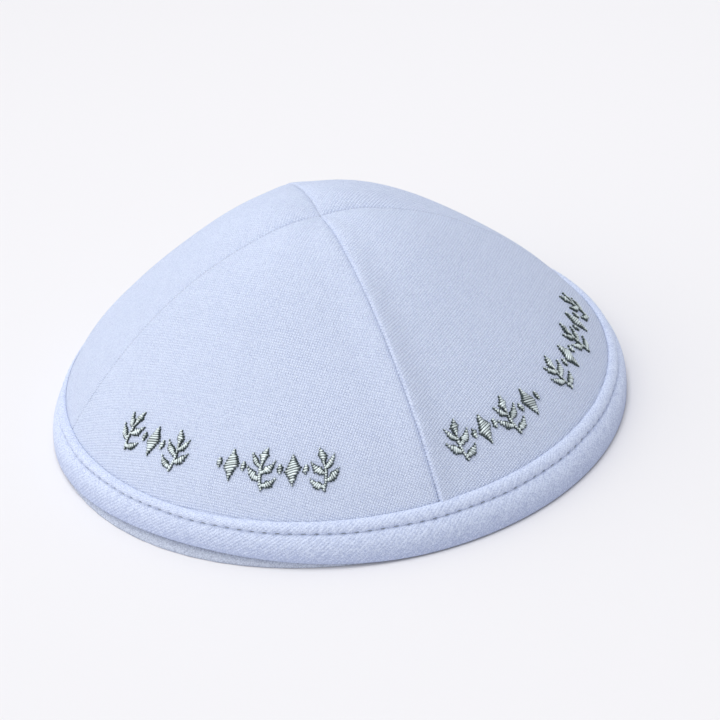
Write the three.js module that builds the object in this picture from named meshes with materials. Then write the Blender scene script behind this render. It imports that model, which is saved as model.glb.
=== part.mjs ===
// Four-panel cloth skullcap with a bias-taped rim, lying on its rim.
// Millimetres, +Z up, origin on the ground at the centre of the rim. The front faces -Y.
import * as THREE from "three";

// Rim, measured over the outside of the tape
const rimWidth = 180.6;
const rimDepth = 178.6;
const rimHeight = 12;
const rimFlare = 6.1;

// Crown, from the line where the panels run under the tape up to the point where they meet
const crownRise = 49.8;
const crownSetLeft = 0.35;
const crownSetBack = 0.4;
const crownLeanBack = 2.4;
const crownFullBack = 2.1;

// Cloth, and the clearance that all layers and seams keep
const panelWall = 1.6;
const panelHem = 7.4;
const layerGap = 0.3;

// Bias tape: a rolled upper edge, a stitched ditch under it and a wide lower band
const tapeWall = 1.0;
const ditchWall = 0.45;
const rollWidth = 3.7;
const rollRise = 0.75;
const bandRise = 0.4;
const tapeHemClear = 0.35;

// Inner turn of the rim, which carries the cap, and the stretch where it shows under the tape
const facingWall = 1.2;
const facingInset = 1.0;
const facingRound = 0.25;
const facingStepShare = 0.6;
const lipLift = 2.2;
const lipOut = 0.8;
const lipAzimuth = -120;
const lipSpan = 50;

// Seams, by their azimuth, and the panel that follows each seam anticlockwise
const seams = [
  { azimuth: -164, panel: "panel_front" },
  { azimuth: -72, panel: "panel_right" },
  { azimuth: 18, panel: "panel_back" },
  { azimuth: 105, panel: "panel_left" },
];

// Crown sections: height as a share of crownRise, along a seam and along the middle of a panel,
// against the distance from the centre as a share of the radius at the tape
const crownSections = [
  { out: 0.0, seam: 1.0, middle: 1.0 },
  { out: 0.1, seam: 0.998, middle: 1.025 },
  { out: 0.2, seam: 0.97, middle: 1.007 },
  { out: 0.35, seam: 0.892, middle: 0.908 },
  { out: 0.5, seam: 0.773, middle: 0.753 },
  { out: 0.65, seam: 0.604, middle: 0.565 },
  { out: 0.8, seam: 0.381, middle: 0.36 },
  { out: 0.9, seam: 0.203, middle: 0.202 },
  { out: 1.0, seam: 0.0, middle: 0.0 },
];

// Facets
const crownRows = 11;
const hemRows = 2;
const panelColumns = 16;
const ringSteps = 72;
const rollSteps = 6;
const bandSteps = 6;
const hemSteps = 4;

const linenBlue = new THREE.Color(0.76, 0.81, 0.93);
const tapeBlue = new THREE.Color(0.74, 0.79, 0.92);
const facingBlue = new THREE.Color(0.7, 0.75, 0.88);

const fullTurn = 2 * Math.PI;
const { clamp, degToRad, euclideanModulo, lerp } = THREE.MathUtils;

// Rim outline

function rimRadius(azimuth) {
  const mean = (rimWidth + rimDepth) / 4;
  const oval = (rimWidth - rimDepth) / 4;
  return mean + oval * Math.cos(2 * azimuth);
}

function edgeRadius(azimuth) {
  return rimRadius(azimuth) - rimFlare;
}

// The rim's layers lie on one slope, which starts where the panels run under the tape. It leans so
// that the folded edge of the tape reaches the rim's outer size just above the ground.
const foldOut = rimFlare - tapeWall / 2;
const foldDown = rimHeight - tapeHemClear - tapeWall / 2;
const foldReach = Math.hypot(foldOut, foldDown);
const foldStand = layerGap + tapeWall / 2;
const rimLean = Math.atan2(foldOut, foldDown) - Math.asin(foldStand / foldReach);
const slopeLength = Math.sqrt(foldReach ** 2 - foldStand ** 2);

// A point of the slope, down it and away from it, as a distance out from the panel edge and a height
function onSlope(down, away) {
  const out = down * Math.sin(rimLean) + away * Math.cos(rimLean);
  const up = rimHeight - down * Math.cos(rimLean) + away * Math.sin(rimLean);
  return new THREE.Vector2(out, up);
}

// How far the inner turn shows at an azimuth, from 0 to 1
function lipShow(azimuth) {
  const turn = euclideanModulo(azimuth - degToRad(lipAzimuth) + Math.PI, fullTurn) - Math.PI;
  const share = Math.min(1, Math.abs(turn) / degToRad(lipSpan));
  return 0.5 * (1 + Math.cos(Math.PI * share));
}

// Crown surface

const sectionPlaces = crownSections.map((row) => row.out);
const seamCurve = new THREE.CubicInterpolant(sectionPlaces, crownSections.map((row) => row.seam), 1);
const middleCurve = new THREE.CubicInterpolant(sectionPlaces, crownSections.map((row) => row.middle), 1);

// A panel lies flatter than a true dome: across, it follows a chord between its two seams
function middleShare(acrossShare) {
  const halfPanel = Math.PI / 4;
  const chordDip = (turn) => 1 / Math.cos(turn) - 1;
  return 1 - chordDip((2 * acrossShare - 1) * halfPanel) / chordDip(halfPanel);
}

function crownHeight(outShare, azimuth, acrossShare) {
  const alongSeam = seamCurve.evaluate(outShare)[0];
  const alongMiddle = middleCurve.evaluate(outShare)[0];
  const rise = lerp(alongSeam, alongMiddle, middleShare(acrossShare)) * crownRise;
  const fullness = 4 * outShare * (1 - outShare) * crownFullBack * Math.sin(azimuth);
  return rimHeight + rise + fullness;
}

// The cap doesn't sit square: over its foot the rim carries the crown a little to the left and back,
// and above the rim the crown leans back in step with its height
function leaned(x, y, height) {
  const rimShare = Math.min(1, height / rimHeight);
  const crownShare = Math.max(0, (height - rimHeight) / crownRise);
  const left = crownSetLeft * rimShare;
  const back = crownSetBack * rimShare + crownLeanBack * crownShare;
  return new THREE.Vector3(x - left, y + back, height);
}

// Closed meshes from rows of points

function closedMesh(name, points, faces, color) {
  const geometry = new THREE.BufferGeometry();
  geometry.setAttribute("position", new THREE.Float32BufferAttribute(points.flatMap((p) => p.toArray()), 3));
  geometry.setIndex(faces.flat());
  geometry.computeVertexNormals();
  const material = new THREE.MeshStandardMaterial({ color, roughness: 0.9, metalness: 0 });
  const mesh = new THREE.Mesh(geometry, material);
  mesh.name = name;
  return mesh;
}

function quad(a, b, c, d) {
  return [a, b, c, a, c, d];
}

// One column of a panel, from the crown point down to the hem, as distances and heights
function panelColumn(azimuth, acrossShare) {
  const edge = edgeRadius(azimuth);
  const column = [];
  for (let row = 0; row <= crownRows; row += 1) {
    const outShare = row / crownRows;
    column.push(new THREE.Vector2(outShare * edge, crownHeight(outShare, azimuth, acrossShare)));
  }
  for (let row = 1; row <= hemRows; row += 1) {
    const below = onSlope(panelHem * row / hemRows, 0);
    column.push(new THREE.Vector2(edge + below.x, below.y));
  }
  return column;
}

// The same column moved inwards by the wall, square to the cloth
function liningColumn(column) {
  return column.map((point, row) => {
    if (row === 0) {
      return new THREE.Vector2(0, point.y - panelWall);
    }
    const before = column[row - 1];
    const after = column[Math.min(row + 1, column.length - 1)];
    const along = after.clone().sub(before).normalize();
    return new THREE.Vector2(point.x + along.y * panelWall, point.y - along.x * panelWall);
  });
}

// A panel fills the wedge between two seams. Its corner is set in from the centre, so that each side
// runs half a gap away from its seam.
function makePanel(name, startAzimuth, endAzimuth) {
  const halfWedge = (endAzimuth - startAzimuth) / 2;
  const setIn = layerGap / 2 / Math.sin(halfWedge);
  const corner = new THREE.Vector2(Math.cos(startAzimuth + halfWedge), Math.sin(startAzimuth + halfWedge));
  corner.multiplyScalar(setIn);
  const rowCount = crownRows + hemRows;
  const points = [];
  const skins = { outer: [], inner: [] };
  const addPoint = (azimuth, point) => {
    const far = Math.max(0, point.x - setIn * Math.cos(azimuth - startAzimuth - halfWedge));
    const x = corner.x + far * Math.cos(azimuth);
    const y = corner.y + far * Math.sin(azimuth);
    return points.push(leaned(x, y, point.y)) - 1;
  };
  for (let step = 0; step <= panelColumns; step += 1) {
    const azimuth = lerp(startAzimuth, endAzimuth, step / panelColumns);
    const outer = panelColumn(azimuth, step / panelColumns);
    const inner = liningColumn(outer);
    const addColumn = (skin, column) => {
      const apex = step === 0 ? addPoint(azimuth, column[0]) : skin[0][0];
      skin.push([apex, ...column.slice(1).map((point) => addPoint(azimuth, point))]);
    };
    addColumn(skins.outer, outer);
    addColumn(skins.inner, inner);
  }
  const faces = [];
  for (let step = 0; step < panelColumns; step += 1) {
    const [outerA, outerB] = [skins.outer[step], skins.outer[step + 1]];
    const [innerA, innerB] = [skins.inner[step], skins.inner[step + 1]];
    faces.push([outerA[0], outerA[1], outerB[1]]);
    faces.push([innerA[0], innerB[1], innerA[1]]);
    for (let row = 1; row < rowCount; row += 1) {
      faces.push(quad(outerA[row], outerA[row + 1], outerB[row + 1], outerB[row]));
      faces.push(quad(innerA[row], innerB[row], innerB[row + 1], innerA[row + 1]));
    }
    faces.push(quad(outerA[rowCount], innerA[rowCount], innerB[rowCount], outerB[rowCount]));
  }
  for (let row = 0; row < rowCount; row += 1) {
    const [outerA, innerA] = [skins.outer[0], skins.inner[0]];
    const [outerB, innerB] = [skins.outer[panelColumns], skins.inner[panelColumns]];
    faces.push(quad(outerA[row], innerA[row], innerA[row + 1], outerA[row + 1]));
    faces.push(quad(outerB[row], outerB[row + 1], innerB[row + 1], innerB[row]));
  }
  return closedMesh(name, points, faces, linenBlue);
}

// A ring swept round the rim from a closed profile of distances out from the panel edge and heights.
// The profile runs clockwise, seen with out to the right and up to the top.
function makeRing(name, profileAt, color) {
  const points = [];
  for (let step = 0; step < ringSteps; step += 1) {
    const azimuth = fullTurn * step / ringSteps;
    for (const place of profileAt(azimuth)) {
      const radius = edgeRadius(azimuth) + place.x;
      points.push(leaned(radius * Math.cos(azimuth), radius * Math.sin(azimuth), place.y));
    }
  }
  const around = points.length / ringSteps;
  const faces = [];
  for (let step = 0; step < ringSteps; step += 1) {
    const here = step * around;
    const next = ((step + 1) % ringSteps) * around;
    for (let place = 0; place < around; place += 1) {
      const beside = (place + 1) % around;
      faces.push(quad(here + place, here + beside, next + beside, next + place));
    }
  }
  return closedMesh(name, points, faces, color);
}

// Bias tape: roll, ditch, band and folded lower edge, on the slope. Under the ditch it draws up
// where the inner turn shows.
function tapeProfile(azimuth) {
  const bandLength = slopeLength - rollWidth;
  const drawnUp = 1 - lipLift * lipShow(azimuth) / (bandLength * Math.cos(rimLean));
  const places = [];
  for (let step = 0; step <= rollSteps; step += 1) {
    const share = step / rollSteps;
    const down = rollWidth * (1 - Math.cos(Math.PI * share)) / 2;
    const away = layerGap + ditchWall * share + rollRise * Math.sin(Math.PI * share);
    places.push(onSlope(down, away));
  }
  for (let step = 1; step <= bandSteps; step += 1) {
    const share = step / bandSteps;
    const down = rollWidth + bandLength * share * drawnUp;
    const away = layerGap + lerp(ditchWall, tapeWall, share) + bandRise * Math.sin(Math.PI * share);
    places.push(onSlope(down, away));
  }
  const foldDownSlope = rollWidth + bandLength * drawnUp;
  for (let step = 1; step <= hemSteps; step += 1) {
    const turn = Math.PI * step / hemSteps;
    const down = foldDownSlope + tapeWall / 2 * Math.sin(turn);
    const away = foldStand + tapeWall / 2 * Math.cos(turn);
    places.push(onSlope(down, away));
  }
  return places;
}

// Inner turn: it stands on the ground behind the tape, and higher up steps in behind the panels
const facingStand = -(panelWall + layerGap + facingWall / 2);
const facingFootStand = -facingWall / 2;
const footDown = (rimHeight + facingFootStand * Math.sin(rimLean)) / Math.cos(rimLean);
const stepStart = panelHem + layerGap;
const stepEnd = lerp(stepStart, footDown, facingStepShare);
const facingLine = [
  onSlope(facingInset, facingStand),
  onSlope(stepStart, facingStand),
  onSlope(stepEnd, facingFootStand),
];
const facingFoot = onSlope(footDown, facingFootStand);

function facingProfile(azimuth) {
  const show = lipShow(azimuth);
  const side = new THREE.Vector2(Math.cos(rimLean), Math.sin(rimLean)).multiplyScalar(facingWall / 2);
  const footHalf = facingWall / 2 / Math.cos(rimLean);
  const outer = facingLine.map((place) => place.clone().add(side));
  const inner = facingLine.map((place) => place.clone().sub(side)).reverse();
  const foot = [
    new THREE.Vector2(facingFoot.x + footHalf, facingRound),
    new THREE.Vector2(facingFoot.x + footHalf - facingRound, 0),
    new THREE.Vector2(facingFoot.x - footHalf + facingRound, 0),
    new THREE.Vector2(facingFoot.x - footHalf, facingRound),
  ];
  return [...outer, ...foot, ...inner].map((place) => {
    const low = clamp(1 - place.y / lipLift, 0, 1);
    return new THREE.Vector2(place.x + lipOut * show * low, place.y);
  });
}

const skullcap = new THREE.Group();
seams.forEach((seam, index) => {
  const start = degToRad(seam.azimuth);
  const following = seams[(index + 1) % seams.length];
  const end = start + euclideanModulo(degToRad(following.azimuth) - start, fullTurn);
  skullcap.add(makePanel(seam.panel, start, end));
});
skullcap.add(makeRing("rim_tape", tapeProfile, tapeBlue));
skullcap.add(makeRing("rim_facing", facingProfile, facingBlue));

export default skullcap;
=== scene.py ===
import math

import bpy
import numpy as np
from mathutils import Matrix, Vector


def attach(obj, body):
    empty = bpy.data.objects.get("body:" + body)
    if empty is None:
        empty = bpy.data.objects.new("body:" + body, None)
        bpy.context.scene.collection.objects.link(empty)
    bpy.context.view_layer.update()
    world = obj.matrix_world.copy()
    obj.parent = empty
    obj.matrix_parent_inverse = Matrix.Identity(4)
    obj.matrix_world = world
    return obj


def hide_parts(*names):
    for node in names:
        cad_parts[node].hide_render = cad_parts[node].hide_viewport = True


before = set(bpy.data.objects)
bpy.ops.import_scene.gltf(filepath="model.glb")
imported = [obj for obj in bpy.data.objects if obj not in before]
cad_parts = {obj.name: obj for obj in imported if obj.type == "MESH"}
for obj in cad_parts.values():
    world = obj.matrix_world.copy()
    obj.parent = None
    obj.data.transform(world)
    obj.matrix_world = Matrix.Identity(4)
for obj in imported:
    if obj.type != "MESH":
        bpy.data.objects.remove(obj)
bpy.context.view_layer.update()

# Camera
# It stands in front of the cap, about 32 degrees above the table, with a long lens. It is tipped a
# little, so that the rim rises to the right.
mm = 0.001
camera_elevation = math.radians(31.79)
camera_tip = math.radians(-5.76)
camera_distance = 634.2 * mm
camera_aim = Vector((7.2 * mm, 0.4 * mm, 11.5 * mm))
field_of_view = math.radians(20)
sensor_width = 36
nearest_seen = 10 * mm

camera_back = Vector((0, -math.cos(camera_elevation), math.sin(camera_elevation)))
camera_turn = Matrix.Rotation(math.pi / 2 - camera_elevation, 4, "X")
camera_turn = camera_turn @ Matrix.Rotation(camera_tip, 4, "Z")
bpy.ops.object.camera_add()
camera = bpy.context.object
camera.name = "camera"
camera.data.sensor_width = sensor_width
camera.data.lens_unit = "FOV"
camera.data.angle = field_of_view
camera.data.clip_start = nearest_seen
camera.matrix_world = Matrix.Translation(camera_aim + camera_back * camera_distance) @ camera_turn
bpy.context.scene.camera = camera


# Linen panels
# Four gores of pale blue plain-weave linen, sewn to each other along seams that meet at the crown.
# The cloth rolls down into each seam, and the lower edge of each gore runs on under the rim tape.
rim_width = 180.6 * mm
rim_depth = 178.6 * mm
rim_radius = (rim_width + rim_depth) / 4
rim_height = 12 * mm
rim_flare = 6.1 * mm
crown_rise = 49.8 * mm
crown_set_left = 0.35 * mm
crown_set_back = 0.4 * mm
crown_lean_back = 2.4 * mm
crown_full_back = 2.1 * mm
panel_wall = 1.6 * mm
panel_hem = 7.4 * mm
layer_gap = 0.3 * mm
tape_wall = 1.0 * mm
tape_hem_clear = 0.35 * mm

seam_azimuths = {"front": -164, "right": -72, "back": 18, "left": 105}

# The cap isn't even all round: its right shoulder is sunk, and at the left, towards the back, its side
# bulges over the rim
shoulder_drop = 1.0 * mm
shoulder_azimuth = math.radians(17)
shoulder_span = math.radians(36)
bulge_swell = 0.45 * mm
bulge_azimuth = math.radians(150)
bulge_span = math.radians(45)
bulge_fade = math.radians(30)
bulge_from = 0.84
bulge_rise_to = 0.94
bulge_fall_from = 0.95

# Where the foot of the rim is drawn in: azimuth, depth, and how narrow the place is
foot_tucks = ((math.radians(150), 2.0 * mm, 8), (0, 1.4 * mm, 4))

# Crown sections: height as a share of the rise, along a seam and along the middle of a panel,
# against the distance from the centre
section_out = (0.0, 0.1, 0.2, 0.35, 0.5, 0.65, 0.8, 0.9, 1.0)
section_along_seam = (1.0, 0.998, 0.97, 0.892, 0.773, 0.604, 0.381, 0.203, 0.0)
section_along_middle = (1.0, 1.025, 1.007, 0.908, 0.753, 0.565, 0.36, 0.202, 0.0)

# The cloth beside a seam: it rolls into the seam, stands in a low ridge along it, and is lifted by the
# allowance pressed under it. Each panel has these sizes at the seam where it starts and the seam where
# it ends, going anticlockwise: roll width, roll depth, ridge, allowance and width of the seam's line
cross_seam = (0.75 * mm, 0.3 * mm, 0, 0.05 * mm, 0.5 * mm)
seam_sides = {
    "front": (cross_seam, (1.1 * mm, 0.5 * mm, 1.5 * mm, 0.02 * mm, 0.5 * mm)),
    "right": ((0.85 * mm, 1.05 * mm, 1.3 * mm, 1.0 * mm, 0.12 * mm), cross_seam),
    "back": (cross_seam, (1.1 * mm, 0.55 * mm, 0.5 * mm, 0.34 * mm, 0.5 * mm)),
    "left": ((1.1 * mm, 0.35 * mm, 0.5 * mm, 0.02 * mm, 0.5 * mm), cross_seam),
}
seam_roll_fall = 1.5
seam_roll_inside = 0.4
seam_change_from = 0.3
seam_change_to = 0.7
seam_flat_to = 0.6
seam_least = 0.35
seam_ridge_width = 10 * mm
seam_ridge_fade = 0.15
allowance_width = 7 * mm
seam_crowding = 0.6
seam_stitch = 2.5 * mm
seam_pucker = 0.04 * mm
pucker_drift = 9
cloth_wave = 0.1 * mm
wave_long = (9 * mm, 11 * mm)
wave_bend = (21 * mm, 17 * mm)
wave_fade = 0.06
tape_pull = 0.25 * mm
tape_pull_from = 0.93
panel_crease = math.radians(50)
slope_step = 0.002
slope_samples = 200

panel_columns = 112
crown_rows = 184
hem_rows = 8
column_crowding = 0.84


def smooth_through(places, values, where):
    """A smooth curve through a section table, made of cubic pieces."""
    places = np.array(places)
    values = np.array(values)
    secants = np.diff(values) / np.diff(places)
    slopes = np.empty(len(values))
    slopes[1:-1] = (values[2:] - values[:-2]) / (places[2:] - places[:-2])
    slopes[0] = 1.5 * secants[0] - 0.5 * slopes[1]
    slopes[-1] = 1.5 * secants[-1] - 0.5 * slopes[-2]
    piece = np.clip(np.searchsorted(places, where, side="right") - 1, 0, len(places) - 2)
    span = places[piece + 1] - places[piece]
    t = (where - places[piece]) / span
    start = values[piece] * (1 + 2 * t) * (1 - t) ** 2 + slopes[piece] * span * t * (1 - t) ** 2
    end = values[piece + 1] * (3 - 2 * t) * t ** 2 - slopes[piece + 1] * span * (1 - t) * t ** 2
    return start + end


def edge_radius(azimuth):
    """Distance from the centre to the line where the panels run under the tape."""
    oval = (rim_width - rim_depth) / 4
    return rim_radius + oval * np.cos(2 * azimuth) - rim_flare


# The rim's layers lie on one slope, which leans so that the tape's folded edge reaches the rim's size
fold_out = rim_flare - tape_wall / 2
fold_down = rim_height - tape_hem_clear - tape_wall / 2
fold_stand = layer_gap + tape_wall / 2
fold_reach = math.hypot(fold_out, fold_down)
rim_lean = math.atan2(fold_out, fold_down) - math.asin(fold_stand / fold_reach)
slope_length = math.sqrt(fold_reach ** 2 - fold_stand ** 2)


def on_slope(down, away):
    """Distance out from the panel edge, and height, of a place down the rim's slope and away from it."""
    out = down * math.sin(rim_lean) + away * math.cos(rim_lean)
    up = rim_height - down * math.cos(rim_lean) + away * math.sin(rim_lean)
    return out, up


def held(value):
    """A value held between 0 and 1."""
    return np.clip(value, 0, 1)


def turn_from(azimuth, middle):
    """The angle between an azimuth and a middle one, the short way round."""
    return np.abs((azimuth - middle + math.pi) % (2 * math.pi) - math.pi)


def fading(azimuth, middle, span):
    """From 1 at a middle azimuth to 0 at a span away from it on either side."""
    return 0.5 * (1 + np.cos(math.pi * np.minimum(1, turn_from(azimuth, middle) / span)))


def eased(share):
    """A share that is held between 0 and 1, and leaves 0 and reaches 1 without a kink."""
    share = held(share)
    return share * share * (3 - 2 * share)


def foot_tuck(azimuth):
    """How far the foot of the rim is drawn in, where the rim stands steeper."""
    return sum(
        depth * held(np.cos(azimuth - middle)) ** narrowness
        for middle, depth, narrowness in foot_tucks
    )


def side_bulge(azimuth):
    """Where the side of the cap bulges over its rim, from 0 to 1: at the left, towards the back."""
    return eased((bulge_span - turn_from(azimuth, bulge_azimuth)) / bulge_fade)


def leaned(radius, azimuth, height):
    """Points of the cap. The rim carries the crown a little left and back, and the crown leans back."""
    rim_share = np.minimum(1, height / rim_height)
    crown_share = np.maximum(0, (height - rim_height) / crown_rise)
    radius = radius - foot_tuck(azimuth) * (1 - rim_share)
    x = radius * np.cos(azimuth) - crown_set_left * rim_share
    y = radius * np.sin(azimuth) + crown_set_back * rim_share + crown_lean_back * crown_share
    return np.stack([x, y, height], axis=-1)


def crown_height(out, azimuth, across):
    """Height of the cloth. Across, a panel follows a chord between its two seams."""
    half_panel = math.pi / 4
    chord_dip = 1 / np.cos((2 * across - 1) * half_panel) - 1
    middle = 1 - chord_dip / (1 / math.cos(half_panel) - 1)
    along_seam = smooth_through(section_out, section_along_seam, out)
    along_middle = smooth_through(section_out, section_along_middle, out)
    rise = (along_seam + (along_middle - along_seam) * middle) * crown_rise
    sunk = shoulder_drop * fading(azimuth, shoulder_azimuth, shoulder_span)
    return rim_height + rise + 4 * out * (1 - out) * (crown_full_back * np.sin(azimuth) - sunk)


def panel_span(name):
    """Azimuths of the two seams of a panel."""
    names = list(seam_azimuths)
    start = seam_azimuths[name]
    end = seam_azimuths[names[(names.index(name) + 1) % len(names)]]
    return math.radians(start), math.radians(start + (end - start) % 360)


def down_panel(azimuth, across, travel):
    """Distance and height of the cloth, from the crown point at 0 by the tape at 1 to the hem at 2."""
    out = held(travel)
    hem = panel_hem * held(travel - 1)
    below, up = on_slope(hem, 0)
    radius = out * edge_radius(azimuth) + np.where(hem > 0, below, 0)
    height = np.where(hem > 0, up, crown_height(out, azimuth, across))
    return radius, height


def beside_seams(name, across):
    """A panel's seam sizes, which change from those at its first seam to those at its last."""
    share = eased((across - seam_change_from) / (seam_change_to - seam_change_from))
    return [at_start + (at_end - at_start) * share for at_start, at_end in zip(*seam_sides[name])]


def seam_relief(out):
    """The share of its relief that a seam has. The seams lie flatter towards the crown."""
    return seam_least + (1 - seam_least) * eased(out / seam_flat_to)


def toward_seam(from_seam, radius, width):
    """A soft step, from 0 in the cloth to 1 at the seam. It is never wider than the panel."""
    least = 0.01 * mm
    return eased(1 - from_seam / np.maximum(np.minimum(width, seam_crowding * radius), least))


def cloth_relief(name, radius, azimuth, out, from_seam, across):
    """How far the outside of the cloth stands proud: the roll into the seam, the ridge and allowance
    beside it, puckers, a slow wave, and the bulge over the rim."""
    roll_width, roll_depth, ridge_height, allowance_height = beside_seams(name, across)[:4]
    relief = seam_relief(out)
    roll = held(1 - from_seam / roll_width) ** seam_roll_fall * roll_depth * relief

    off_tape = held((1 - out) / seam_ridge_fade)
    off_crown = held(out / seam_ridge_fade)
    ridge = toward_seam(from_seam, radius, seam_ridge_width) * ridge_height * off_tape * off_crown

    by_seam = held(1 - from_seam / allowance_width)
    gathers = 2 * math.pi * radius / seam_stitch + 2 * np.sin(pucker_drift * azimuth)
    pucker = seam_pucker * np.sin(gathers) * by_seam

    x = radius * np.cos(azimuth)
    y = radius * np.sin(azimuth)
    wave = np.sin(x / wave_long[0] + 2 * np.sin(y / wave_bend[1]))
    wave = wave * np.sin(y / wave_long[1] + 1.7 * np.sin(x / wave_bend[0]))
    free_above = held(out / wave_fade)
    free_below = held((1 - out) / wave_fade)
    loose = (pucker + cloth_wave * wave) * free_above * free_below

    allowance = toward_seam(from_seam, radius, allowance_width) * allowance_height
    allowance = allowance * free_above * relief
    pulled_in = tape_pull * held((out - tape_pull_from) / (1 - tape_pull_from)) ** 2

    rising = held((out - bulge_from) / (bulge_rise_to - bulge_from))
    above_rim = rising * held((1 - out) / (1 - bulge_fall_from))
    bulge = bulge_swell * side_bulge(azimuth) * eased(above_rim)
    return allowance + ridge + bulge + loose - roll - pulled_in


def panel_points(name, across, travel, depth):
    """Points of a panel. Depth is 0 on the outside of the cloth and 1 on the inside."""
    start, end = panel_span(name)
    azimuth = start + (end - start) * across
    radius, height = down_panel(azimuth, across, travel)
    radius_below, height_below = down_panel(azimuth, across, travel + slope_step)
    radius_above, height_above = down_panel(azimuth, across, np.maximum(0, travel - slope_step))
    run = radius_below - radius_above
    drop = height_below - height_above
    length = np.hypot(run, drop)
    out = held(travel)
    from_seam = np.clip(np.minimum(azimuth - start, end - azimuth), 0, math.pi / 2)
    from_seam = radius * np.sin(from_seam)
    relief = cloth_relief(name, radius, azimuth, out, from_seam, across)
    roll_width, roll_depth = beside_seams(name, across)[:2]
    roll_inside = held(1 - from_seam / roll_width) ** seam_roll_fall * roll_depth
    roll_inside = roll_inside * seam_roll_inside * seam_relief(out)
    stand = relief * (1 - depth) + (roll_inside - panel_wall) * depth
    moved_radius = np.where(travel > 0, radius - drop / length * stand, 0)
    return leaned(np.maximum(0, moved_radius), azimuth, height + run / length * stand)


def deselect_all():
    """Leaves no piece chosen, so that the next step works on the new one alone."""
    bpy.ops.object.select_all(action="DESELECT")


def vertex_places(piece):
    """Places of a piece's vertices, as rows of x, y and z."""
    flat = np.empty(len(piece.data.vertices) * 3, dtype=np.float32)
    piece.data.vertices.foreach_get("co", flat)
    return flat.reshape(-1, 3).astype(float)


def lay_vertices(piece, points):
    """Moves each vertex of a piece to its point."""
    piece.data.vertices.foreach_set("co", points.astype(np.float32).ravel())
    piece.data.update()


def lay_cloth_map(piece, cloth):
    """Sets the UV map from one place per corner, in metres of cloth."""
    piece.data.uv_layers[0].name = "cloth"
    piece.data.uv_layers["cloth"].uv.foreach_set("vector", cloth.astype(np.float32).ravel())


def corner_vertices(piece):
    """The vertex at each corner of each face."""
    corners = np.empty(len(piece.data.loops), dtype=np.int32)
    piece.data.loops.foreach_get("vertex_index", corners)
    return corners


def add_marks(piece, name, values):
    """An attribute with one number for each vertex, which the material reads."""
    marks = piece.data.attributes.new(name, "FLOAT", "POINT")
    marks.data.foreach_set("value", values.astype(np.float32))


def sew_panel(name):
    """One gore: a flat piece of cloth with a thickness, which is pulled over the crown."""
    deselect_all()
    rows = crown_rows + hem_rows
    bpy.ops.mesh.primitive_grid_add(x_subdivisions=panel_columns, y_subdivisions=rows, size=1)
    panel = bpy.context.object
    panel.name = "linen_" + name
    panel.data.name = panel.name

    # The flat piece comes to a point at the crown
    flat = vertex_places(panel)
    flat[:, 0] = np.where(flat[:, 1] > 0.5 - 0.5 / rows, 0, flat[:, 0])
    lay_vertices(panel, flat)
    bpy.ops.object.mode_set(mode="EDIT")
    bpy.ops.mesh.select_all(action="SELECT")
    well_under_a_cell = 0.1 / rows / panel_columns
    bpy.ops.mesh.remove_doubles(threshold=well_under_a_cell)
    bpy.ops.object.mode_set(mode="OBJECT")

    thicken = panel.modifiers.new("cloth wall", "SOLIDIFY")
    thicken.thickness = 1
    thicken.offset = -1
    bpy.ops.object.modifier_apply(modifier=thicken.name)

    # Then it is pulled over the crown, with its columns crowded towards the seams
    flat = vertex_places(panel)
    share = held(flat[:, 0] + 0.5)
    down = held(0.5 - flat[:, 1])
    depth = held(-flat[:, 2])
    across = (1 - column_crowding) * share + column_crowding * (1 - np.cos(math.pi * share)) / 2
    crown_part = crown_rows / rows
    travel = np.where(down <= crown_part, down / crown_part, 1 + (down - crown_part) / (1 - crown_part))
    lay_vertices(panel, panel_points(name, across, travel, depth))

    # Threads run down the middle of the panel and across it
    start, end = panel_span(name)
    middle = (start + end) / 2
    places = np.linspace(0, 1, slope_samples)
    radii, heights = down_panel(middle, 0.5, places)
    lengths = np.concatenate([[0], np.cumsum(np.hypot(np.diff(radii), np.diff(heights)))])
    reach = np.interp(travel, places, lengths) + panel_hem * held(travel - 1)
    fan = (end - start) * (across - 0.5) * edge_radius(middle) / lengths[-1]
    cloth = np.stack([reach * np.sin(fan), -reach * np.cos(fan)], axis=-1)
    lay_cloth_map(panel, cloth[corner_vertices(panel)])

    radius = np.interp(travel, places, radii)
    side = np.minimum(across, 1 - across) * (end - start)
    line_width = beside_seams(name, across)[-1]
    add_marks(panel, "seam", held(1 - radius * np.sin(side) / line_width))
    add_marks(panel, "slope", reach)
    bpy.ops.object.shade_smooth_by_angle(angle=panel_crease)
    return panel


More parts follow.
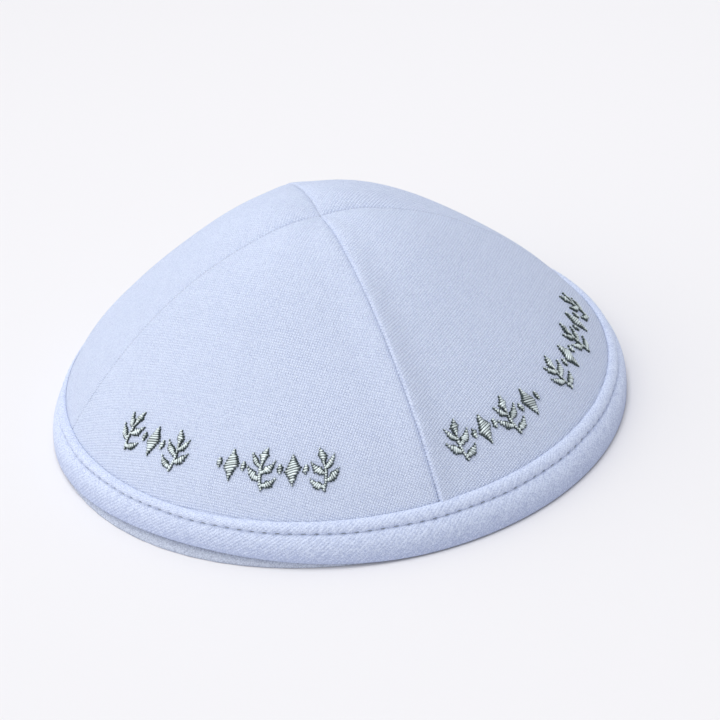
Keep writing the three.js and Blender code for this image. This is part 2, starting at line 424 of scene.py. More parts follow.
class Nodes:
    """A node tree in the making. Each method adds a node or a few, and gives back what comes out."""

    def __init__(self, tree):
        self.tree = tree

    def put(self, value, socket):
        """Sets a socket to a number or a colour, or links it to another node's socket."""
        if isinstance(value, bpy.types.NodeSocket):
            self.tree.links.new(value, socket)
        else:
            socket.default_value = value

    def math(self, operation, *values):
        node = self.tree.nodes.new("ShaderNodeMath")
        node.operation = operation
        for value, socket in zip(values, node.inputs):
            self.put(value, socket)
        return node.outputs[0]

    def total(self, *values):
        result = values[0]
        for value in values[1:]:
            result = self.math("ADD", result, value)
        return result

    def scaled(self, value, factor):
        return self.math("MULTIPLY", value, factor)

    def blend(self, base, *parts):
        """A base with so much of each other value added."""
        return self.total(base, *(self.scaled(value, amount) for value, amount in parts))

    def held(self, value):
        """A value held between 0 and 1."""
        return self.math("MAXIMUM", 0, self.math("MINIMUM", 1, value))

    def wave(self, value):
        """A wave that crosses zero at each whole number."""
        return self.math("SINE", self.scaled(value, math.pi))

    def marks(self, name):
        node = self.tree.nodes.new("ShaderNodeAttribute")
        node.attribute_name = name
        return node.outputs["Fac"]

    def cloth_map(self):
        """The two directions of the cloth's own map, in metres."""
        node = self.tree.nodes.new("ShaderNodeUVMap")
        node.uv_map = "cloth"
        apart = self.tree.nodes.new("ShaderNodeSeparateXYZ")
        self.put(node.outputs["UV"], apart.inputs[0])
        return apart.outputs["X"], apart.outputs["Y"]

    def vector(self, x, y, z):
        node = self.tree.nodes.new("ShaderNodeCombineXYZ")
        for value, socket in zip((x, y, z), node.inputs):
            self.put(value, socket)
        return node.outputs[0]

    def noise(self, place, scale, detail=2):
        """Soft noise from about -0.5 to 0.5."""
        node = self.tree.nodes.new("ShaderNodeTexNoise")
        self.put(place, node.inputs["Vector"])
        node.inputs["Scale"].default_value = scale
        node.inputs["Detail"].default_value = detail
        return self.math("SUBTRACT", node.outputs["Fac"], 0.5)

    def each(self, number):
        """A random tone for each whole number, such as each thread, from -0.5 to 0.5."""
        node = self.tree.nodes.new("ShaderNodeTexWhiteNoise")
        node.noise_dimensions = "1D"
        self.put(self.math("FLOOR", number), node.inputs["W"])
        return self.math("SUBTRACT", node.outputs["Value"], 0.5)

    def each_cell(self, place):
        """A random tone for each crossing of two threads, from -0.5 to 0.5."""
        node = self.tree.nodes.new("ShaderNodeTexWhiteNoise")
        node.noise_dimensions = "3D"
        self.put(place, node.inputs["Vector"])
        return self.math("SUBTRACT", node.outputs["Value"], 0.5)

    def between(self, share, low, high):
        """A number, or with colours a colour, mixed from low to high."""
        node = self.tree.nodes.new("ShaderNodeMix")
        coloured = isinstance(high, tuple)
        node.data_type = "RGBA" if coloured else "FLOAT"
        first, second, result = (6, 7, 2) if coloured else (2, 3, 0)
        self.put(share, node.inputs[0])
        self.put(low, node.inputs[first])
        self.put(high, node.inputs[second])
        return node.outputs[result]


class Finish(Nodes):
    """A material in the making."""

    def __init__(self, name):
        self.material = bpy.data.materials.new(name)
        self.material.use_nodes = True
        super().__init__(self.material.node_tree)
        self.shader = self.tree.nodes["Principled BSDF"]

    def relief(self, height, depth):
        """Bump from a height of 0 to 1, with its real depth."""
        node = self.tree.nodes.new("ShaderNodeBump")
        self.put(height, node.inputs["Height"])
        node.inputs["Distance"].default_value = depth
        self.put(node.outputs["Normal"], self.shader.inputs["Normal"])

    def set_shader(self, **values):
        for name, value in values.items():
            self.put(value, self.shader.inputs[name.replace("_", " ")])


def linen_finish():
    """Plain weave: threads over and under, pinholes between them in painted shade, threads of uneven
    tone, and slubs.
    """
    warp_pitch = 0.68 * mm
    weft_pitch = 0.775 * mm
    thread_waver = 0.4
    waver_length = 14 * mm
    thread_flatness = 0.4
    slub_length = 9 * mm
    slub_tone = 1.2
    crossing_tone = 1.7
    thread_apart = 7.3
    weft_apart = 500
    grain_size = 0.32 * mm
    cloud_size = 25 * mm
    seam_dash = 0.9 * mm
    seam_dash_share = 0.14
    seam_line_share = 0.3
    seam_line_fall = 1.5
    weave_depth = 0.2 * mm
    tone_height = 0.25
    linen_light = (0.71, 0.785, 0.975, 1)
    linen_deep = (0.475, 0.545, 0.775, 1)
    seam_grey = (0.38, 0.40, 0.47, 1)

    finish = Finish("pale_blue_linen")
    u, v = finish.cloth_map()
    waver = finish.scaled(finish.noise(finish.vector(u, v, 0), 1 / waver_length), thread_waver)
    warp = finish.math("ADD", finish.math("DIVIDE", u, warp_pitch), waver)
    weft = finish.math("ADD", finish.math("DIVIDE", v, weft_pitch), waver)
    warp_wave = finish.wave(warp)
    weft_wave = finish.wave(weft)
    warp_round = finish.math("ABSOLUTE", warp_wave)
    weft_round = finish.math("ABSOLUTE", weft_wave)
    warp_over = finish.math("GREATER_THAN", finish.scaled(warp_wave, weft_wave), 0)
    warp_up = finish.scaled(warp_round, finish.math("POWER", weft_round, thread_flatness))
    weft_up = finish.scaled(weft_round, finish.math("POWER", warp_round, thread_flatness))
    height = finish.between(warp_over, weft_up, warp_up)

    # Each thread has its own tone, and slubs along it. Warp and weft are numbered apart, so that no
    # thread of one repeats a thread of the other. The last number of a vector keeps the noises apart
    warp_number = finish.math("FLOOR", warp)
    weft_number = finish.math("FLOOR", weft)
    along_warp = finish.math("DIVIDE", v, slub_length)
    along_weft = finish.math("DIVIDE", u, slub_length)
    warp_slub = finish.noise(finish.vector(finish.scaled(warp_number, thread_apart), along_warp, 0), 1)
    weft_slub = finish.noise(finish.vector(along_weft, finish.scaled(weft_number, thread_apart), 5), 1)
    warp_tone = finish.blend(finish.each(warp), (warp_slub, slub_tone))
    weft_tone = finish.blend(finish.each(finish.total(weft, weft_apart)), (weft_slub, slub_tone))
    crossing = finish.each_cell(finish.vector(warp_number, weft_number, 0))
    thread_tone = finish.between(warp_over, weft_tone, warp_tone)
    thread_tone = finish.blend(thread_tone, (crossing, crossing_tone))
    cloud = finish.noise(finish.vector(u, v, 3), 1 / cloud_size)
    grain = finish.noise(finish.vector(u, v, 7), 1 / grain_size, 0)

    # The sewing shows as short dashes in the seam's line
    dash = finish.math("SINE", finish.scaled(finish.marks("slope"), 2 * math.pi / seam_dash))
    in_seam = finish.math("POWER", finish.marks("seam"), seam_line_fall)
    dashes = finish.scaled(in_seam, finish.blend(seam_line_share, (dash, seam_dash_share)))

    # How light the cloth is: a base, and how much each of these adds. Through the weave's height, the
    # low places between threads get painted shade
    lightness = finish.blend(0.58, (height, 0.3), (thread_tone, 0.15), (grain, 1.7), (cloud, 0.08))
    colour = finish.between(finish.held(lightness), linen_deep, linen_light)
    colour = finish.between(dashes, colour, seam_grey)
    finish.relief(finish.blend(height, (thread_tone, tone_height)), weave_depth)
    finish.set_shader(Base_Color=colour, Roughness=0.88, Specular_IOR_Level=0.2)
    finish.set_shader(Sheen_Weight=0.25, Sheen_Roughness=0.5, Sheen_Tint=(0.8, 0.88, 1, 1))
    return finish.material


linen = linen_finish()
for name in seam_azimuths:
    panel = sew_panel(name)
    panel.data.materials.append(linen)
    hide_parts("panel_" + name)
    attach(panel, "root")


# Rim facing
# The inner turn of the rim, a strip of the tape's cloth that stands on the table and carries the cap.
# At the front left it shows under the tape as a thin lip. It is sewn in with the panels' hems.
facing_wall = 1.2 * mm
facing_inset = 1.0 * mm
facing_step_share = 0.6
facing_side_share = 0.36
facing_foot_share = 0.16
lip_lift = 2.8 * mm
lip_azimuth = math.radians(-124)
lip_span = math.radians(50)
lip_out = 1.5 * mm
lip_out_azimuth = math.radians(-131)
lip_out_span = math.radians(54)
facing_lengths = 144
facing_cuts = 3
facing_around = 36
facing_ripple = 0.06 * mm
facing_ripples = 70
facing_ripple_drift = 7


def lip_show(azimuth):
    """How far the facing shows under the tape, from 0 to 1."""
    return fading(azimuth, lip_azimuth, lip_span)


def lip_spread(azimuth):
    """How far the foot of the facing spreads, from 0 to 1. It spreads most to the left of the lip."""
    return fading(azimuth, lip_out_azimuth, lip_out_span)


def edge_ends(piece):
    """The two vertices of each edge."""
    ends = np.empty(len(piece.data.edges) * 2, dtype=np.int32)
    piece.data.edges.foreach_get("vertices", ends)
    return ends.reshape(-1, 2)


def cut_edges(piece, chosen, cuts):
    """Cuts the chosen edges of a piece, and the faces between them, so many times."""
    bpy.ops.object.mode_set(mode="EDIT")
    bpy.ops.mesh.select_all(action="DESELECT")
    bpy.ops.mesh.select_mode(type="EDGE")
    bpy.ops.object.mode_set(mode="OBJECT")
    piece.data.edges.foreach_set("select", chosen)
    bpy.ops.object.mode_set(mode="EDIT")
    bpy.ops.mesh.subdivide(number_cuts=cuts)
    bpy.ops.object.mode_set(mode="OBJECT")


def past_join(places, whole):
    """Places at the corners of four-cornered faces. In a face over the join they are counted on."""
    places = places.reshape(-1, 4)
    over_join = np.ptp(places, axis=1, keepdims=True) > whole / 2
    return np.where(over_join & (places < whole / 2), places + whole, places)


def sweep_ring(name, lengths_round, cuts, around, section):
    """A ring round the rim, of so many lengths that are each cut further. The section gives distances
    out and heights, at an azimuth, for places from 0 to 1 down the outer side, under the edge and up
    the inner side."""
    deselect_all()
    bpy.ops.mesh.primitive_torus_add(
        major_segments=lengths_round, minor_segments=around,
        major_radius=1, minor_radius=0.25, generate_uvs=True,
    )
    ring = bpy.context.object
    ring.name = name
    ring.data.name = name
    rough_ring = vertex_places(ring)
    rough_azimuth = np.arctan2(rough_ring[:, 1], rough_ring[:, 0])
    ends = rough_azimuth[edge_ends(ring)]
    runs_round = np.abs(np.sin(ends[:, 0] - ends[:, 1])) > 0.5 / lengths_round
    cut_edges(ring, runs_round, cuts - 1)
    round_ring = vertex_places(ring)
    azimuth = np.arctan2(round_ring[:, 1], round_ring[:, 0])
    circle = np.arctan2(round_ring[:, 2], np.hypot(round_ring[:, 0], round_ring[:, 1]) - 1)
    place = np.rint(-circle / (2 * math.pi) * around) % around / around
    out, up = section(azimuth, place)
    lay_vertices(ring, leaned(edge_radius(azimuth) + out, azimuth, up))

    # The cloth map runs along the rim from the back, and round the section
    corners = corner_vertices(ring)
    turn = past_join(((azimuth - math.pi / 2) % (2 * math.pi))[corners], 2 * math.pi)
    sample_out, sample_up = section(np.zeros(around), np.arange(around) / around)
    steps_out = np.diff(sample_out, append=sample_out[0])
    steps_up = np.diff(sample_up, append=sample_up[0])
    lengths = np.concatenate([[0], np.cumsum(np.hypot(steps_out, steps_up))])
    index = past_join(np.rint(place * around).astype(int)[corners], around)
    cloth = np.stack([turn * rim_radius, lengths[index]], axis=-1)
    lay_cloth_map(ring, cloth.reshape(-1, 2))
    bpy.ops.object.shade_smooth()
    return ring


def facing_section(azimuth, place):
    """The facing's outline. It stands behind the hems, steps out below them, and ends on the table."""
    half = facing_wall / 2
    stand_high = -(panel_wall + layer_gap + half)
    stand_foot = -half
    foot_down = (rim_height - half + stand_foot * math.sin(rim_lean)) / math.cos(rim_lean)
    step_start = panel_hem + layer_gap
    step_end = step_start + (foot_down - step_start) * facing_step_share

    # Four stretches: outer side, foot, inner side, top
    inner_from = facing_side_share + facing_foot_share
    top_from = inner_from + facing_side_share
    on_outer = held(place / facing_side_share)
    on_foot = held((place - facing_side_share) / facing_foot_share)
    on_inner = held((place - inner_from) / facing_side_share)
    on_top = held((place - top_from) / (1 - top_from))

    down = facing_inset + (foot_down - facing_inset) * (on_outer - on_inner)
    step = eased((down - step_start) / (step_end - step_start))
    stand = stand_high + (stand_foot - stand_high) * step
    turn = math.pi * (on_foot + on_top)
    down = down + half * np.sin(turn) * np.where(on_top > 0, -1, 1)
    ripple = np.sin(facing_ripples * azimuth + 2 * np.sin(facing_ripple_drift * azimuth))
    away = stand + half * np.cos(turn) + facing_ripple * ripple
    out, up = on_slope(down, away)
    out = out + lip_out * lip_spread(azimuth) * held(1 - up / lip_lift)
    return out, np.maximum(0, up)


def twill_finish(name, light, deep, ridge_pitch, hem_painted_shade=None):
    """Fine twill: slanting ridges that break where threads cross, with threads of uneven tone. Towards
    its hem it
    can have painted shade: it darkens between two places down the cloth, by a share."""
    ridge_angle = math.radians(50)
    ridge_depth = 0.1 * mm
    waver_length = 9 * mm
    ridge_waver = 0.9
    float_slant = 1.15
    float_waver = 0.5
    ridge_apart = 5.1
    slub_scale = 0.35
    slub_height = 0.3
    streak_scale = (0.55, 0.12)
    grain_size = 0.34 * mm
    cloud_size = 12 * mm
    hem_shade_fall = 1.5

    finish = Finish(name)
    u, v = finish.cloth_map()
    waver = finish.scaled(finish.noise(finish.vector(u, v, 0), 1 / waver_length), ridge_waver)
    ring_length = 2 * math.pi * rim_radius
    ridges_round = round(ring_length * math.cos(ridge_angle) / ridge_pitch)
    along = finish.scaled(u, ridges_round / ring_length)
    down = finish.scaled(v, math.sin(ridge_angle) / ridge_pitch)
    ridge = finish.total(along, down, waver)
    floats = finish.scaled(along, -float_slant)
    floats = finish.blend(floats, (down, float_slant), (waver, float_waver))
    ridge_round = finish.math("ABSOLUTE", finish.wave(ridge))
    breaks = finish.math("ABSOLUTE", finish.wave(floats))
    height = finish.scaled(ridge_round, finish.blend(0.5, (breaks, 0.5)))

    # The last number of a vector keeps the noises apart
    ridge_number = finish.math("FLOOR", ridge)
    slub = finish.noise(finish.vector(finish.scaled(ridge_number, ridge_apart), floats, 1), slub_scale)
    across_streak = finish.scaled(ridge, streak_scale[0])
    along_streak = finish.scaled(floats, streak_scale[1])
    streak = finish.noise(finish.vector(across_streak, along_streak, 2), 1, 3)
    crossing = finish.each_cell(finish.vector(ridge_number, finish.math("FLOOR", floats), 4))
    grain = finish.noise(finish.vector(u, v, 9), 1 / grain_size, 0)
    cloud = finish.noise(finish.vector(u, v, 8), 1 / cloud_size)

    # How light the cloth is: a base, and how much each of these adds. Through the height, the low places
    # between ridges get painted shade
    adds = [(height, 0.2), (streak, 0.1), (crossing, 0.2), (grain, 2), (slub, 0.1), (cloud, 0.12)]
    # Painted shade: darker towards the hem, where the rim turns away from the light above
    if hem_painted_shade:
        shade_from, shade_to, shade = hem_painted_shade
        toward_hem = finish.math("SUBTRACT", v, shade_from)
        toward_hem = finish.held(finish.math("DIVIDE", toward_hem, shade_to - shade_from))
        adds.append((finish.math("POWER", toward_hem, hem_shade_fall), -shade))
    colour = finish.between(finish.held(finish.blend(0.56, *adds)), deep, light)
    finish.relief(finish.blend(height, (slub, slub_height)), ridge_depth)
    finish.set_shader(Base_Color=colour, Roughness=0.8, Specular_IOR_Level=0.25)
    finish.set_shader(Sheen_Weight=0.25, Sheen_Roughness=0.45, Sheen_Tint=(0.8, 0.88, 1, 1))
    return finish.material


facing = sweep_ring("rim_inner_turn", facing_lengths, facing_cuts, facing_around, facing_section)
# The facing is the tape's cloth, coloured darker than the tape: painted shade, for the lip that lies low
# under the tape
facing.data.materials.append(twill_finish(
    "facing_twill_in_painted_shade", light=(0.58, 0.635, 0.765, 1), deep=(0.37, 0.41, 0.535, 1),
    ridge_pitch=0.62 * mm,
))
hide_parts("rim_facing")
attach(facing, "root")


# Rim tape
# Bias-cut twill tape, folded over the rim. Its upper edge is rolled and sewn down, and each stitch
# pulls a pit into the ditch under the roll, so that roll and band puff a little between stitches.
tape_roll = 3.15 * mm
roll_sway = 0.6 * mm
roll_widest = math.radians(-35)
roll_narrows = 0.88 * mm
roll_rise = 1.25 * mm
ditch_wall = 1.1 * mm
band_rise = 1.25 * mm
band_slack = 0.6
band_crowding = 1.25
band_full_high = 0.8
tape_flatness = 0.75
tape_rest = 0.03 * mm
tape_rest_fall = 4
stitch_count = 146
pit_depth = 0.4 * mm
pit_reach = 0.4 * mm
pit_fullness = 0.7
stitch_pull = 0.096 * mm
stitch_pull_reach = 1.5 * mm
drag_depth = 0.05 * mm
drag_pitch = 3.4 * mm
band_wave = 0.05 * mm
band_wave_along = 6 * mm
band_wave_down = 3 * mm
tape_edge_fade = 1 * mm
tape_cuts = 8
tape_around = 46

# Shares of the section's points that each stretch of the tape takes
roll_share = 16 / tape_around
band_share = 18 / tape_around
hem_share = 5 / tape_around
back_share = 1 - roll_share - band_share - hem_share

# How often each of these comes in one turn round the rim. All are whole, so that the ring closes
line_wander = ((5, 0.12 * mm), (23, 0.07 * mm))
drag_gusts = 13
drag_gust_drift = 5
drag_drift = 11
band_wave_drift = 9


def stitch_line(azimuth):
    """How far down the slope the row of stitches runs. It sways, runs higher over the lip, and wanders
    a little, as sewn by machine."""
    sway = np.cos(azimuth - roll_widest) * roll_sway - roll_narrows * lip_spread(azimuth) ** 2
    (slow, slow_reach), (fast, fast_reach) = line_wander
    wander = slow_reach * np.sin(slow * azimuth + 1) + fast_reach * np.sin(fast * azimuth)
    return tape_roll + sway + wander


def tape_fullness(azimuth):
    """How full the tape is, up to 1. It lies flatter where the side bulges over it."""
    return 1 - tape_flatness * side_bulge(azimuth)


def tape_section(azimuth, place):
    """The tape's outline: down over the roll and the ditch, over the band, round the fold and up the
    back."""
    on_roll = held(place / roll_share)
    on_band = held((place - roll_share) / band_share)
    on_hem = held((place - roll_share - band_share) / hem_share)
    on_back = held((place - roll_share - band_share - hem_share) / back_share)
    ditch_down = stitch_line(azimuth)
    band_length = slope_length - ditch_down
    drawn_up = 1 - lip_lift * lip_show(azimuth) / (band_length * math.cos(rim_lean))
    fold_at = ditch_down + band_length * drawn_up

    full = tape_fullness(azimuth)
    ditch_stand = layer_gap + ditch_wall * full
    roll_down = ditch_down * (1 - np.cos(math.pi * on_roll)) / 2
    roll_away = tape_rest + (ditch_stand - tape_rest) * on_roll
    roll_away = roll_away + roll_rise * full * np.sin(math.pi * on_roll)
    roll_away = roll_away - tape_pull * (1 - on_roll) ** tape_rest_fall
    band_along = on_band ** band_crowding
    band_down = ditch_down + (fold_at - ditch_down) * band_along
    band_bulge = band_rise * full * (1 - band_slack * lip_show(azimuth))
    band_bulge = band_bulge * np.sin(math.pi * band_along ** band_full_high)
    band_away = ditch_stand + (layer_gap + tape_wall - ditch_stand) * band_along + band_bulge
    hem_down = fold_at + tape_wall / 2 * np.sin(math.pi * on_hem)
    hem_away = fold_stand + tape_wall / 2 * np.cos(math.pi * on_hem)
    back_down = fold_at * (1 - on_back)
    back_away = layer_gap + (tape_rest - layer_gap) * on_back
    stretches = [on_back > 0, on_hem > 0, on_band > 0]
    down = np.select(stretches, [back_down, hem_down, band_down], roll_down)
    away = np.select(stretches, [back_away, hem_away, band_away], roll_away)

    # Each stitch pulls a pit into the ditch and draws in the cloth round it
    from_ditch = np.abs(down - ditch_down)
    stitches = np.cos(stitch_count * azimuth)
    pit = held(stitches) ** pit_fullness * np.exp(-(from_ditch / pit_reach) ** 2)
    pull = stitches * np.exp(-(from_ditch / stitch_pull_reach) ** 2)
    sewn_in = pit_depth * full * pit + stitch_pull * pull

    # The outside has slanting drags that come and go, and the band waves
    along = azimuth * rim_radius
    strength = 0.5 + 0.5 * np.sin(drag_gusts * azimuth + 2 * np.sin(drag_gust_drift * azimuth))
    slant = 2 * math.pi * (along + down) / drag_pitch + 3 * np.sin(drag_drift * azimuth)
    drag = drag_depth * np.sin(slant) * strength
    wave = along / band_wave_along + 2 * np.sin(band_wave_drift * azimuth) + down / band_wave_down
    wave = band_wave * np.sin(wave) * np.where(on_band > 0, band_along, 0)
    outside = np.where(on_hem > 0, 0, 1) * held(down / tape_edge_fade)
    return on_slope(down, away + outside * (drag + wave - sewn_in))


tape = sweep_ring("bias_tape", stitch_count, tape_cuts, tape_around, tape_section)
# The tape has painted shade, darker from 8 mm to 15 mm down its cloth, towards the hem
tape.data.materials.append(twill_finish(
    "pale_blue_bias_twill", light=(0.70, 0.775, 0.965, 1), deep=(0.45, 0.515, 0.73, 1),
    ridge_pitch=0.95 * mm, hem_painted_shade=(8 * mm, 15 * mm, 0.55),
))
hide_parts("rim_tape")
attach(tape, "root")


# Rim stitches
# One row of machine stitches in pale thread, which holds the rolled edge of the tape down. Each
# stitch is a short length of thread that rises out of the ditch and dives back into it. The pale thread
# is coloured dark grey: painted shade, for the ditch it lies in.
stitch_show = 2.0 * mm
stitch_radius = 0.14 * mm
stitch_bulge = 0.1 * mm
stitch_in_pit = 0.75
stitch_proud = 0.2
stitch_tone_seed = 3

# A strand of thread: how fast it rises into its arch, how thick its tips are and how fast they thicken,
# and the share of it at either end that can take painted shade where it is tucked into the cloth
strand_rise = 0.6
strand_tip = 0.55
strand_tip_rise = 0.5
strand_most_tuck = 0.36
strand_crease = math.radians(60)


def model_strand(sides, lengths):
    """One straight strand along Z, from -0.5 to 0.5 and with a radius of 1, cut into short lengths."""
    deselect_all()
    bpy.ops.mesh.primitive_cylinder_add(vertices=sides, radius=1, depth=1, end_fill_type="NGON")
    strand = bpy.context.object
    ends = vertex_places(strand)[edge_ends(strand), 2]
    runs_along = np.abs(ends[:, 0] - ends[:, 1]) > 0.5
    cut_edges(strand, runs_along, lengths - 1)
    return strand


def lay_strands(name, strand, starts, ends, ups, radius, bulge, tones, tuck_shade_reach):
    """Copies of the strand, joined in one mesh. Each is bent from its start over a low arch to its end,
    and thins where it goes into the cloth."""
    template = vertex_places(strand)
    share = template[:, 2] + 0.5
    curve = np.sin(math.pi * held(share))
    arch = curve ** strand_rise
    thick = strand_tip + (1 - strand_tip) * curve ** strand_tip_rise
    along = ends - starts
    sides = np.cross(ups, along)
    sides = sides / np.linalg.norm(sides, axis=1, keepdims=True)
    points = starts[:, None] + along[:, None] * share[None, :, None]
    points = points + ups[:, None] * (arch[None, :] * bulge[:, None])[..., None]
    points = points + sides[:, None] * (template[:, 0] * thick * radius)[None, :, None]
    points = points + ups[:, None] * (template[:, 1] * thick * radius)[None, :, None]
    faces = [list(face.vertices) for face in strand.data.polygons]
    count = len(template)
    mesh = bpy.data.meshes.new(name)
    mesh.from_pydata(
        points.reshape(-1, 3).tolist(), [],
        [[index + count * copy for index in face] for copy in range(len(starts)) for face in faces],
    )
    piece = bpy.data.objects.new(name, mesh)
    bpy.context.collection.objects.link(piece)
    # Marks for the thread's colour: a random tone, and the tucked ends and flanks, which get painted
    # shade
    add_marks(piece, "tone", np.repeat(tones, count))
    lengths = np.linalg.norm(along, axis=1)[:, None]
    from_end = np.minimum(share, 1 - share)[None, :] * lengths
    tucked = np.minimum(tuck_shade_reach, strand_most_tuck * lengths)
    add_marks(piece, "tuck", held(1 - from_end / tucked).ravel())
    add_marks(piece, "flank", np.tile(np.abs(template[:, 0]), len(starts)))
    deselect_all()
    piece.select_set(True)
    bpy.context.view_layer.objects.active = piece
    bpy.ops.object.mode_set(mode="EDIT")
    bpy.ops.mesh.select_all(action="SELECT")
    bpy.ops.mesh.normals_make_consistent(inside=False)
    bpy.ops.object.mode_set(mode="OBJECT")
    bpy.ops.object.shade_smooth_by_angle(angle=strand_crease)
    return piece


def drop(piece):
    """Clears away a pattern piece that was only copied from."""
    bpy.data.objects.remove(piece, do_unlink=True)


def slope_points(azimuth, down, away):
    """Points down the rim's slope and away from it."""
    out, up = on_slope(down, away)
    return leaned(edge_radius(azimuth) + out, azimuth, up)


def sew_rim():
    """The whole row of stitches, each lying in its pit."""
    azimuth = 2 * math.pi * np.arange(stitch_count) / stitch_count - math.pi
    half = stitch_show / 2 / rim_radius
    down = stitch_line(azimuth)
    ditch = (ditch_wall - pit_depth * stitch_in_pit) * tape_fullness(azimuth)
    lie = layer_gap + ditch + stitch_radius * stitch_proud
    starts = slope_points(azimuth - half, down, lie)
    ends = slope_points(azimuth + half, down, lie)
    ups = slope_points(azimuth, down, lie + 1 * mm) - slope_points(azimuth, down, lie)
    ups = ups / np.linalg.norm(ups, axis=1, keepdims=True)
    strand = model_strand(6, 6)
    bulges = np.full(stitch_count, stitch_bulge)
    tones = np.random.default_rng(stitch_tone_seed).uniform(-0.5, 0.5, stitch_count)
    row = lay_strands(
        "rim_stitches", strand, starts, ends, ups, stitch_radius, bulges, tones, stitch_show / 4
    )
    drop(strand)
    return row


def thread_finish(name, light, deep, metallic, roughness, tone_spread):
    """Sewing thread: each strand has its own tone, and painted shade where it goes into the cloth and
    along its flanks, where strands shade each other.
    """
    tuck_fall, tuck_painted_shade = 1.2, 1.6
    flank_fall, flank_painted_shade = 2, 0.9

    finish = Finish(name)
    tone = finish.marks("tone")
    tuck = finish.math("POWER", finish.marks("tuck"), tuck_fall)
    flank = finish.math("POWER", finish.marks("flank"), flank_fall)
    # Painted shade: darker towards both ends, where the strand dives into the cloth, and at its flanks,
    # between strands
    lightness = finish.blend(1, (tone, tone_spread), (tuck, -tuck_painted_shade), (flank, -flank_painted_shade))
    colour = finish.between(finish.held(lightness), deep, light)
    finish.set_shader(Base_Color=colour, Roughness=roughness, Metallic=metallic)
    return finish.material


rim_stitches = sew_rim()
# The thread is pale, but its colours here are a dark grey: painted shade of the ditch
rim_stitches.data.materials.append(thread_finish(
    "pale_blue_thread_in_painted_shade", light=(0.34, 0.375, 0.42, 1), deep=(0.17, 0.19, 0.22, 1),
    metallic=0, roughness=0.6, tone_spread=0.3,
))
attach(rim_stitches, "root")


# Embroidered ornament
# Small leaf sprigs and lozenges in lustrous grey-green thread, in four groups above the rim. They
# are satin stitch: strands laid side by side across each leaf and stem, pulled in at both ends.
ornament_radius = rim_width / 2 - rim_flare
ornament_foot = 0.935
ornament_shrink = 0.1 / (11.5 * mm)
satin_pitch = 0.7 * mm
satin_radius = 0.37 * mm
satin_bulge = 0.36 * mm
satin_slant = 0.3
satin_jitter = 0.3 * mm
satin_tuck_shade_reach = 0.95 * mm
satin_sink = 0.05 * mm
satin_fullness = 0.07
satin_uneven = 0.04 * mm
satin_least = 0.2 * mm
satin_shift = 0.06 * mm
ornament_seed = 11

# Groups: the azimuth of the group's middle, the motifs from left to right, and their spacing
ornament_groups = {
    "front": (
        (-136.3, "sprig lozenge sprig", 9.9),
        (-104.5, "lozenge sprig lozenge sprig", 9.6),
    ),
    "right": (
        (-53.2, "sprig lozenge sprig lozenge", 9.6),
        (-15, "sprig lozenge sprig lozenge sprig", 10.2),
    ),
}

# Columns of satin: start, bend and end in millimetres across and up, then the half width at each
sprig_columns = (
    ((0.7, -0.2), (-1.0, 3.6), (0.2, 7.6), (0.55, 0.55, 0.45)),
    ((0.2, 7.2), (0.1, 9.4), (1.3, 11.8), (0.4, 1.5, 0.15)),
    ((-0.2, 4.4), (2.1, 4.8), (4.0, 8.1), (0.35, 1.35, 0.15)),
    ((-0.1, 2.6), (-2.3, 2.9), (-4.2, 6.1), (0.35, 1.35, 0.15)),
    ((0.4, 1.1), (2.5, 0.7), (4.5, 3.4), (0.35, 1.3, 0.15)),
    ((-0.1, 6.0), (-1.8, 6.7), (-3.0, 10.0), (0.3, 1.15, 0.15)),
)
lozenge_columns = (
    ((0.0, 1.2), (0.0, 5.7), (0.0, 10.2), (0.15, 2.5, 0.15)),
    ((-3.7, 4.3), (-3.7, 5.7), (-3.7, 7.1), (0.2, 1.15, 0.2)),
    ((3.7, 4.3), (3.7, 5.7), (3.7, 7.1), (0.2, 1.15, 0.2)),
)
motif_columns = {"sprig": sprig_columns, "lozenge": lozenge_columns}


def satin_ends(column, chance):
    """Both ends of each strand across one column of satin, in millimetres across and up."""
    start, bend, end, halves = column
    start, bend, end = (np.array(point) for point in (start, bend, end))
    length = np.linalg.norm(bend - start) + np.linalg.norm(end - bend)
    count = max(3, round(length * mm / satin_pitch))
    t = ((np.arange(count) + 0.5) / count)[:, None]
    line = start * (1 - t) ** 2 + bend * 2 * t * (1 - t) + end * t ** 2
    heading = 2 * (bend - start) * (1 - t) + 2 * (end - bend) * t
    heading = heading / np.linalg.norm(heading, axis=1, keepdims=True)
    crossing = np.stack([heading[:, 1], -heading[:, 0]], axis=1)
    half = np.interp(t[:, 0], (0, 0.5, 1), halves)
    half = half + chance.uniform(-1, 1, count) * satin_jitter / mm / 2
    reach = np.maximum(half, satin_least / mm)[:, None]
    shift = chance.uniform(-1, 1, (count, 2)) * satin_shift / mm
    left = line - crossing * reach - heading * reach * satin_slant + shift
    right = line + crossing * reach + heading * reach * satin_slant + shift
    return left, right


def on_crown(name, azimuth, out, lift):
    """Points on the outside of a panel's cloth, lifted off it."""
    start, end = panel_span(name)
    across = (azimuth - start) / (end - start)
    outside = np.zeros_like(out)
    base = panel_points(name, across, out, outside)
    beside = panel_points(name, across + slope_step, out, outside) - base
    below = panel_points(name, across, out + slope_step, outside) - base
    up = np.cross(below, beside)
    up = up / np.linalg.norm(up, axis=-1, keepdims=True)
    return base + up * lift, up


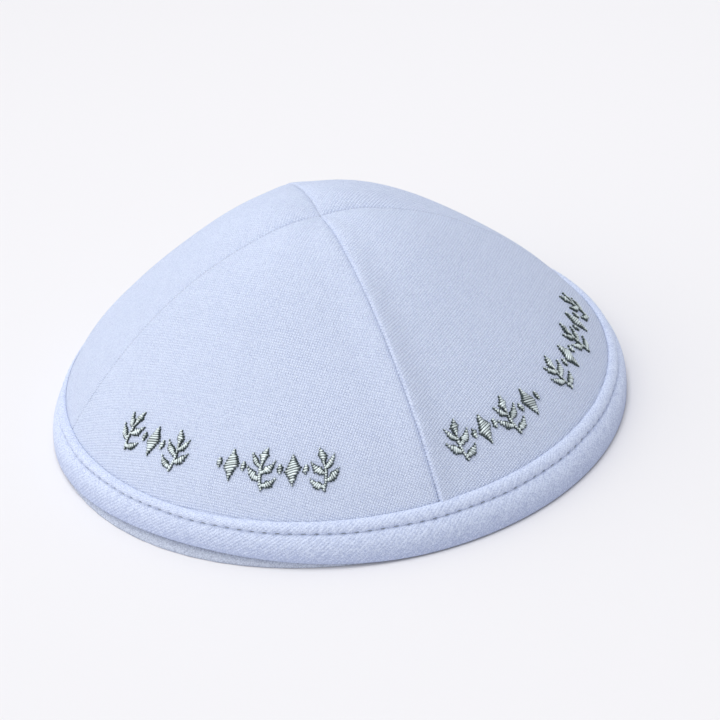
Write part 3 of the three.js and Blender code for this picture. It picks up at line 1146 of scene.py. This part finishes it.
def embroider(name, groups, seed):
    """All the satin of one panel, as one piece."""
    chance = np.random.default_rng(seed)
    lefts, rights = [], []
    for middle, motifs, spacing in groups:
        motifs = motifs.split()
        for index, motif in enumerate(motifs):
            flip = -1 if index > len(motifs) / 2 else 1
            offset = (index - (len(motifs) - 1) / 2) * spacing * mm
            azimuth = math.radians(middle) + offset / (ornament_foot * ornament_radius)
            for column in motif_columns[motif]:
                for ends, store in zip(satin_ends(column, chance), (lefts, rights)):
                    places = np.empty_like(ends)
                    out = ornament_foot - ends[:, 1] * mm * ornament_shrink
                    places[:, 0] = azimuth + flip * ends[:, 0] * mm / (out * ornament_radius)
                    places[:, 1] = out
                    store.append(places)
    lefts = np.concatenate(lefts)
    rights = np.concatenate(rights)
    starts, ups = on_crown(name, lefts[:, 0], lefts[:, 1], -satin_sink)
    ends = on_crown(name, rights[:, 0], rights[:, 1], -satin_sink)[0]
    width = np.linalg.norm(ends - starts, axis=1)
    bulges = satin_bulge + satin_fullness * width + chance.uniform(-1, 1, len(width)) * satin_uneven
    tones = chance.uniform(-0.5, 0.5, len(width))
    strand = model_strand(8, 8)
    piece = lay_strands(
        "embroidery_" + name, strand, starts, ends, ups, satin_radius, bulges, tones, satin_tuck_shade_reach
    )
    drop(strand)
    return piece


# The deep colour is mostly painted shade, reached at the tucked ends and flanks; the random tone goes
# only part of the way to it
ornament_thread = thread_finish(
    "grey_green_lustre_thread", light=(0.81, 0.905, 0.925, 1), deep=(0.043, 0.066, 0.067, 1),
    metallic=0.4, roughness=0.33, tone_spread=0.7,
)
for seed, (name, groups) in enumerate(ornament_groups.items()):
    ornament = embroider(name, groups, seed + ornament_seed)
    ornament.data.materials.append(ornament_thread)
    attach(ornament, "root")


# Floor
# A plain, pale studio table, matt as paper. It runs on out of sight behind the cap, and the foot of the
# rim lies on it.
floor_size = 8
floor_colour = (0.815, 0.807, 0.83, 1)

deselect_all()
bpy.ops.mesh.primitive_plane_add(size=floor_size)
floor = bpy.context.object
floor.name = "floor"
floor_paper = Finish("pale_paper")
floor_paper.set_shader(Base_Color=floor_colour, Roughness=0.95, Specular_IOR_Level=0.0)
floor.data.materials.append(floor_paper.material)


# Light
# Soft studio light: a tent all round, whose left side glows brighter and a little warmer, so that it
# models the panels and leaves hardly a shadow, and a soft box overhead that shades rim and rolls.
tent_strength = 0.52
tent_colour = (0.975, 0.99, 1.02, 1)
glow_strength = 0.97
glow_colour = (1.02, 1.01, 0.985, 1)
glow_elevation = math.radians(35)
glow_fall = 2
soft_box_direction = Vector((-0.05, 0.05, 1))
soft_box_distance = 1.3
soft_box_size = 0.6
soft_box_power = 5.8

tent = bpy.data.worlds.new("tent")
tent.use_nodes = True
tent_light = Nodes(tent.node_tree)
direction = tent_light.tree.nodes.new("ShaderNodeTexCoord").outputs["Generated"]
toward_glow = tent_light.tree.nodes.new("ShaderNodeVectorMath")
toward_glow.operation = "DOT_PRODUCT"
tent_light.put(direction, toward_glow.inputs[0])
tent_light.put((-math.cos(glow_elevation), 0, math.sin(glow_elevation)), toward_glow.inputs[1])
glow = tent_light.math("POWER", tent_light.math("MAXIMUM", toward_glow.outputs["Value"], 0), glow_fall)
background = tent_light.tree.nodes["Background"]
tent_light.put(tent_light.blend(tent_strength, (glow, glow_strength)), background.inputs["Strength"])
tent_light.put(tent_light.between(glow, tent_colour, glow_colour), background.inputs["Color"])
bpy.context.scene.world = tent

bpy.ops.object.light_add(type="AREA", location=soft_box_direction.normalized() * soft_box_distance)
soft_box = bpy.context.object
soft_box.name = "soft_box"
soft_box.data.shape = "DISK"
soft_box.data.size = soft_box_size
soft_box.data.energy = soft_box_power
soft_box.rotation_euler = soft_box_direction.to_track_quat("Z", "Y").to_euler()

# A plain product picture, with no film curve
bpy.context.scene.view_settings.view_transform = "Standard"
